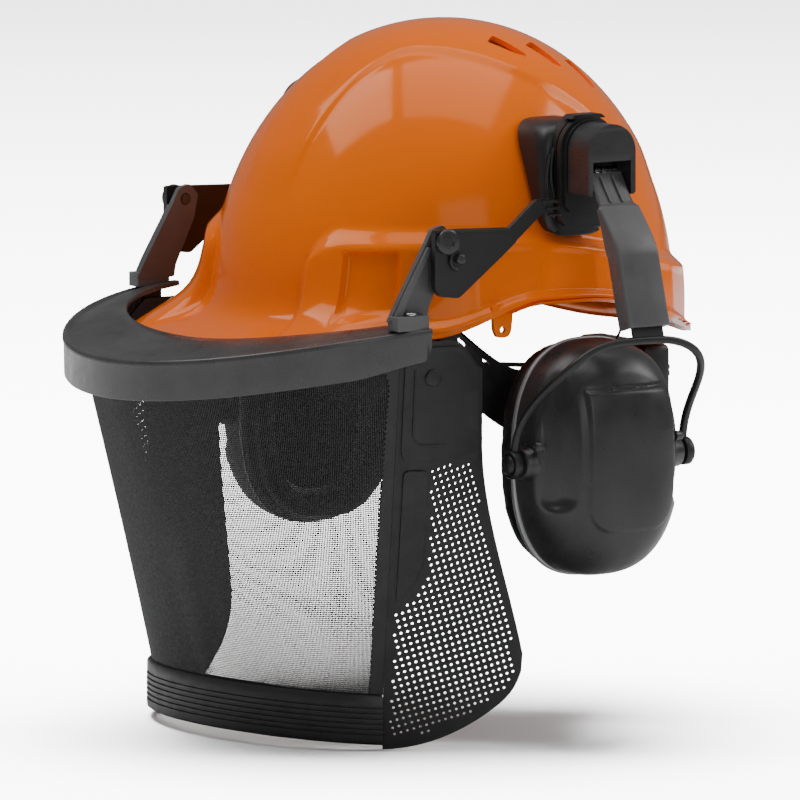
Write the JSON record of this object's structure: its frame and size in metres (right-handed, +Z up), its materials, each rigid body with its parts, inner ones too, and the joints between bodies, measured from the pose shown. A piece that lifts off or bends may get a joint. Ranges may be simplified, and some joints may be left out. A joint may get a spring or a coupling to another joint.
{
  "type": "forestry helmet",
  "caption": "Hard hat with a tilting mesh face visor on side brackets, sprung ear muffs on swivelling arms and a ratchet headband.",
  "frame": {"origin": "centre of the headband, level with the shell's rim, where the head is", "axes": "+X is the wearer's left, -Y is the front, +Z is up along the head"},
  "size_m": [0.3248, 0.3178, 0.3325],
  "materials": {
    "orange": "glossy orange injection-moulded shell plastic",
    "dark": "satin dark grey plastic",
    "grey": "satin grey plastic",
    "black": "satin black plastic",
    "steel": "bright steel",
    "soft": "soft black foam under a vinyl skin",
    "silver": "silver grey plastic",
    "web": "woven grey webbing",
    "foam": "open-cell grey foam",
    "screen": "black-coated fine steel wire mesh"
  },
  "bodies": {
    "shell": {"band_hanger_1a": "black", "band_hanger_1b": "black", "band_hanger_3a": "black", "band_hanger_3b": "black", "crown_strap_1": "web", "crown_strap_2": "web", "crown_strap_3": "web", "headband": "black", "muff_base_left": "black", "muff_base_right": "black", "nape_pad": "soft", "ratchet_housing": "black", "shell": "orange", "strap_clip_1a": "black", "strap_clip_1b": "black", "strap_clip_2a": "black", "strap_clip_2b": "black", "strap_clip_3a": "black", "strap_clip_3b": "black", "sweatband": "soft", "visor_bracket_left": "black", "visor_bracket_right": "black", "visor_pin_left": "steel", "visor_pin_right": "steel"},
    "knob": {"ratchet_knob": "dark"},
    "tail_left": {"band_tail_left": "black"},
    "tail_right": {"band_tail_right": "black"},
    "visor": {"bottom_trim": "black", "brow_guard": "grey", "guard_rivet_left": "steel", "guard_rivet_right": "steel", "mesh_screen": "screen", "side_panel_left": "black", "side_panel_right": "black", "visor_arm_left": "dark", "visor_arm_right": "dark"},
    "hub_left": {"muff_hub_left": "black", "arm_spring_left": "steel"},
    "arm_left": {"muff_arm_left": "grey"},
    "yoke_left": {"cup_yoke_left": "dark", "yoke_cap_front_left": "black", "yoke_cap_rear_left": "black"},
    "cup_left": {"cup_shell_left": "dark", "back_plate_left": "silver", "cushion_left": "soft", "ear_foam_left": "foam"},
    "hub_right": {"muff_hub_right": "black", "arm_spring_right": "steel"},
    "arm_right": {"muff_arm_right": "grey"},
    "yoke_right": {"cup_yoke_right": "dark", "yoke_cap_front_right": "black", "yoke_cap_rear_right": "black"},
    "cup_right": {"cup_shell_right": "dark", "back_plate_right": "silver", "cushion_right": "soft", "ear_foam_right": "foam"}
  },
  "joints": [
    {"name": "visor_tilt", "type": "hinge", "parent": "shell", "child": "visor", "pos_m": [0, -0.076, 0.046], "axis": [-1, 0, 0], "range_deg": [0, 80]},
    {"name": "knob_turn", "type": "hinge", "parent": "shell", "child": "knob", "pos_m": [0, 0.1138, -0.038], "axis": [0, 1, 0], "range_deg": [-90, 90]},
    {"name": "tail_left_draw", "type": "hinge", "parent": "shell", "child": "tail_left", "pos_m": [0, 0.0195, -0.038], "axis": [0, 0, 1], "range_deg": [-5.36, 5.36]},
    {"name": "tail_right_draw", "type": "hinge", "parent": "shell", "child": "tail_right", "pos_m": [0, 0.0195, -0.038], "axis": [0, 0, 1], "range_deg": [-5.36, 5.36]},
    {"name": "hub_swivel_left", "type": "hinge", "parent": "shell", "child": "hub_left", "pos_m": [0.1135, 0.008, 0.084], "axis": [1, 0, 0], "range_deg": [-1, 6]},
    {"name": "arm_flip_left", "type": "hinge", "parent": "hub_left", "child": "arm_left", "pos_m": [0.1225, 0.008, 0.074], "axis": [0, -1, 0], "range_deg": [-4, 35]},
    {"name": "yoke_slide_left", "type": "slide", "parent": "arm_left", "child": "yoke_left", "axis": [0.277, 0, -0.9609], "range_m": [-0.0035, 0.012]},
    {"name": "cup_tilt_left", "type": "hinge", "parent": "yoke_left", "child": "cup_left", "pos_m": [0.127, 0.003, -0.06], "axis": [0, -1, 0], "range_deg": [-4, 12]},
    {"name": "hub_swivel_right", "type": "hinge", "parent": "shell", "child": "hub_right", "pos_m": [-0.1135, 0.008, 0.084], "axis": [-1, 0, 0], "range_deg": [-6, 1]},
    {"name": "arm_flip_right", "type": "hinge", "parent": "hub_right", "child": "arm_right", "pos_m": [-0.1225, 0.008, 0.074], "axis": [0, 1, 0], "range_deg": [-4, 35]},
    {"name": "yoke_slide_right", "type": "slide", "parent": "arm_right", "child": "yoke_right", "axis": [-0.277, 0, -0.9609], "range_m": [-0.0035, 0.012]},
    {"name": "cup_tilt_right", "type": "hinge", "parent": "yoke_right", "child": "cup_right", "pos_m": [-0.127, 0.003, -0.06], "axis": [0, 1, 0], "range_deg": [-4, 12]}
  ],
  "couplings": [
    {"joint": "tail_left_draw", "follows": "knob_turn", "ratio": -0.0595},
    {"joint": "tail_right_draw", "follows": "knob_turn", "ratio": 0.0595}
  ]
}
